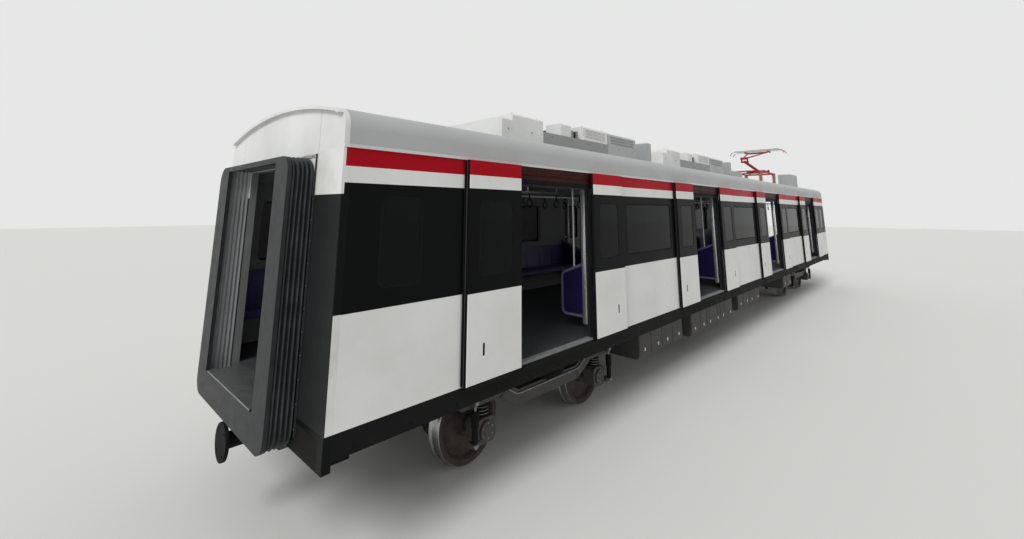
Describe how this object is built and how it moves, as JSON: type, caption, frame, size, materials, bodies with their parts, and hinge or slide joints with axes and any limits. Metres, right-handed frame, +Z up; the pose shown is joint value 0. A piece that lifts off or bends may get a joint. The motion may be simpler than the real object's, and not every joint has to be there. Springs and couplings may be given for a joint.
{
  "type": "metro trailer car with a roof collector",
  "caption": "Metro car with outside sliding doors, half gangways, two bogies and a hinged roof current collector.",
  "frame": {"origin": "on the floor under the middle of the car, at the wheel flanges' lowest line", "axes": "+X to the front end along the car, +Y to its left side, +Z up"},
  "size_m": [20.46, 3.124, 5.1007],
  "materials": {
    "aluminium": "extruded aluminium",
    "band_paint": "gloss coach enamel, black",
    "bogie_paint": "dark grey enamel",
    "floor_covering": "rubber floor covering",
    "frame_paint": "matt black underframe paint",
    "insulator": "silicone insulators",
    "lining": "moulded lining",
    "red_paint": "red enamel",
    "roof_paint": "light grey enamel",
    "rubber": "coated bellows fabric and rubber",
    "screen_panel": "laminated screen",
    "seat_shell": "moulded seat shells",
    "stainless": "brushed stainless tube",
    "tinted_glass": "tinted safety glass",
    "wheel_steel": "turned steel",
    "white_paint": "gloss coach enamel, white"
  },
  "bodies": {
    "car_body": {"sole_bars": "frame_paint", "underframe": "frame_paint", "floor": "floor_covering", "door_tracks": "aluminium", "side_panels": "white_paint", "window_bands": "band_paint", "side_glass": "tinted_glass", "cantrails": "red_paint", "roof": "roof_paint", "ceiling": "lining", "end_walls": "white_paint", "bellows": "rubber", "gangway_frames": "bogie_paint", "bridge_plates": "aluminium", "door_posts": "aluminium", "seats": "seat_shell", "screens": "screen_panel", "grab_rails": "stainless", "equipment_cases": "bogie_paint", "air_tanks": "frame_paint", "couplers": "frame_paint", "hvac_units": "white_paint", "roof_cases": "roof_paint", "collector_base": "red_paint", "insulators": "insulator"},
    "leaf_r1_front": {"leaf_r1_front": "white_paint"},
    "leaf_r1_rear": {"leaf_r1_rear": "white_paint"},
    "leaf_r2_front": {"leaf_r2_front": "white_paint"},
    "leaf_r2_rear": {"leaf_r2_rear": "white_paint"},
    "leaf_r3_front": {"leaf_r3_front": "white_paint"},
    "leaf_r3_rear": {"leaf_r3_rear": "white_paint"},
    "leaf_r4_front": {"leaf_r4_front": "white_paint"},
    "leaf_r4_rear": {"leaf_r4_rear": "white_paint"},
    "leaf_l1_front": {"leaf_l1_front": "white_paint"},
    "leaf_l1_rear": {"leaf_l1_rear": "white_paint"},
    "leaf_l2_front": {"leaf_l2_front": "white_paint"},
    "leaf_l2_rear": {"leaf_l2_rear": "white_paint"},
    "leaf_l3_front": {"leaf_l3_front": "white_paint"},
    "leaf_l3_rear": {"leaf_l3_rear": "white_paint"},
    "leaf_l4_front": {"leaf_l4_front": "white_paint"},
    "leaf_l4_rear": {"leaf_l4_rear": "white_paint"},
    "bogie_rear": {"bogie_frame_rear": "bogie_paint", "axleboxes_rear": "bogie_paint", "air_springs_rear": "rubber"},
    "wheelset_rear_1": {"wheelset_rear_1": "wheel_steel"},
    "wheelset_rear_2": {"wheelset_rear_2": "wheel_steel"},
    "bogie_front": {"bogie_frame_front": "bogie_paint", "axleboxes_front": "bogie_paint", "air_springs_front": "rubber"},
    "wheelset_front_1": {"wheelset_front_1": "wheel_steel"},
    "wheelset_front_2": {"wheelset_front_2": "wheel_steel"},
    "lower_arm": {"lower_arm": "red_paint"},
    "upper_arm": {"upper_arm": "red_paint"},
    "collector_head": {"collector_head": "red_paint"}
  },
  "joints": [
    {"name": "slide_r1_front", "type": "slide", "parent": "car_body", "child": "leaf_r1_front", "axis": [-1, 0, 0], "range_m": [0, 0.697]},
    {"name": "slide_r1_rear", "type": "slide", "parent": "car_body", "child": "leaf_r1_rear", "axis": [1, 0, 0], "range_m": [0, 0.697]},
    {"name": "slide_r2_front", "type": "slide", "parent": "car_body", "child": "leaf_r2_front", "axis": [-1, 0, 0], "range_m": [0, 0.697]},
    {"name": "slide_r2_rear", "type": "slide", "parent": "car_body", "child": "leaf_r2_rear", "axis": [1, 0, 0], "range_m": [0, 0.697]},
    {"name": "slide_r3_front", "type": "slide", "parent": "car_body", "child": "leaf_r3_front", "axis": [-1, 0, 0], "range_m": [0, 0.697]},
    {"name": "slide_r3_rear", "type": "slide", "parent": "car_body", "child": "leaf_r3_rear", "axis": [1, 0, 0], "range_m": [0, 0.697]},
    {"name": "slide_r4_front", "type": "slide", "parent": "car_body", "child": "leaf_r4_front", "axis": [-1, 0, 0], "range_m": [0, 0.697]},
    {"name": "slide_r4_rear", "type": "slide", "parent": "car_body", "child": "leaf_r4_rear", "axis": [1, 0, 0], "range_m": [0, 0.697]},
    {"name": "slide_l1_front", "type": "slide", "parent": "car_body", "child": "leaf_l1_front", "axis": [1, 0, 0], "range_m": [0, 0.697]},
    {"name": "slide_l1_rear", "type": "slide", "parent": "car_body", "child": "leaf_l1_rear", "axis": [-1, 0, 0], "range_m": [0, 0.697]},
    {"name": "slide_l2_front", "type": "slide", "parent": "car_body", "child": "leaf_l2_front", "axis": [1, 0, 0], "range_m": [0, 0.697]},
    {"name": "slide_l2_rear", "type": "slide", "parent": "car_body", "child": "leaf_l2_rear", "axis": [-1, 0, 0], "range_m": [0, 0.697]},
    {"name": "slide_l3_front", "type": "slide", "parent": "car_body", "child": "leaf_l3_front", "axis": [1, 0, 0], "range_m": [0, 0.697]},
    {"name": "slide_l3_rear", "type": "slide", "parent": "car_body", "child": "leaf_l3_rear", "axis": [-1, 0, 0], "range_m": [0, 0.697]},
    {"name": "slide_l4_front", "type": "slide", "parent": "car_body", "child": "leaf_l4_front", "axis": [1, 0, 0], "range_m": [0, 0.697]},
    {"name": "slide_l4_rear", "type": "slide", "parent": "car_body", "child": "leaf_l4_rear", "axis": [-1, 0, 0], "range_m": [0, 0.697]},
    {"name": "bogie_rear_turn", "type": "hinge", "parent": "car_body", "child": "bogie_rear", "pos_m": [-6.9, 0, 0.7], "axis": [0, 0, 1], "range_deg": [-4, 4]},
    {"name": "wheelset_rear_1_spin", "type": "hinge", "parent": "bogie_rear", "child": "wheelset_rear_1", "pos_m": [-8, 0, 0.458], "axis": [0, 1, 0], "continuous": true},
    {"name": "wheelset_rear_2_spin", "type": "hinge", "parent": "bogie_rear", "child": "wheelset_rear_2", "pos_m": [-5.8, 0, 0.458], "axis": [0, 1, 0], "continuous": true},
    {"name": "bogie_front_turn", "type": "hinge", "parent": "car_body", "child": "bogie_front", "pos_m": [6.9, 0, 0.7], "axis": [0, 0, 1], "range_deg": [-4, 4]},
    {"name": "wheelset_front_1_spin", "type": "hinge", "parent": "bogie_front", "child": "wheelset_front_1", "pos_m": [5.8, 0, 0.458], "axis": [0, 1, 0], "continuous": true},
    {"name": "wheelset_front_2_spin", "type": "hinge", "parent": "bogie_front", "child": "wheelset_front_2", "pos_m": [8, 0, 0.458], "axis": [0, 1, 0], "continuous": true},
    {"name": "lower_arm_lift", "type": "hinge", "parent": "car_body", "child": "lower_arm", "pos_m": [7.4, 0, 4.278], "axis": [0, 1, 0], "range_deg": [-8, 30]},
    {"name": "knee_turn", "type": "hinge", "parent": "lower_arm", "child": "upper_arm", "pos_m": [5.68824, 0, 4.64184], "axis": [0, 1, 0], "range_deg": [-60, 16]},
    {"name": "head_level", "type": "hinge", "parent": "upper_arm", "child": "collector_head", "pos_m": [7.4, 0, 5.00569], "axis": [0, 1, 0], "range_deg": [-8, 30]}
  ],
  "couplings": [
    {"joint": "slide_r1_rear", "follows": "slide_r1_front", "ratio": 1},
    {"joint": "slide_r2_rear", "follows": "slide_r2_front", "ratio": 1},
    {"joint": "slide_r3_rear", "follows": "slide_r3_front", "ratio": 1},
    {"joint": "slide_r4_rear", "follows": "slide_r4_front", "ratio": 1},
    {"joint": "slide_l1_rear", "follows": "slide_l1_front", "ratio": 1},
    {"joint": "slide_l2_rear", "follows": "slide_l2_front", "ratio": 1},
    {"joint": "slide_l3_rear", "follows": "slide_l3_front", "ratio": 1},
    {"joint": "slide_l4_rear", "follows": "slide_l4_front", "ratio": 1},
    {"joint": "knee_turn", "follows": "lower_arm_lift", "ratio": -2},
    {"joint": "head_level", "follows": "lower_arm_lift", "ratio": 1}
  ]
}
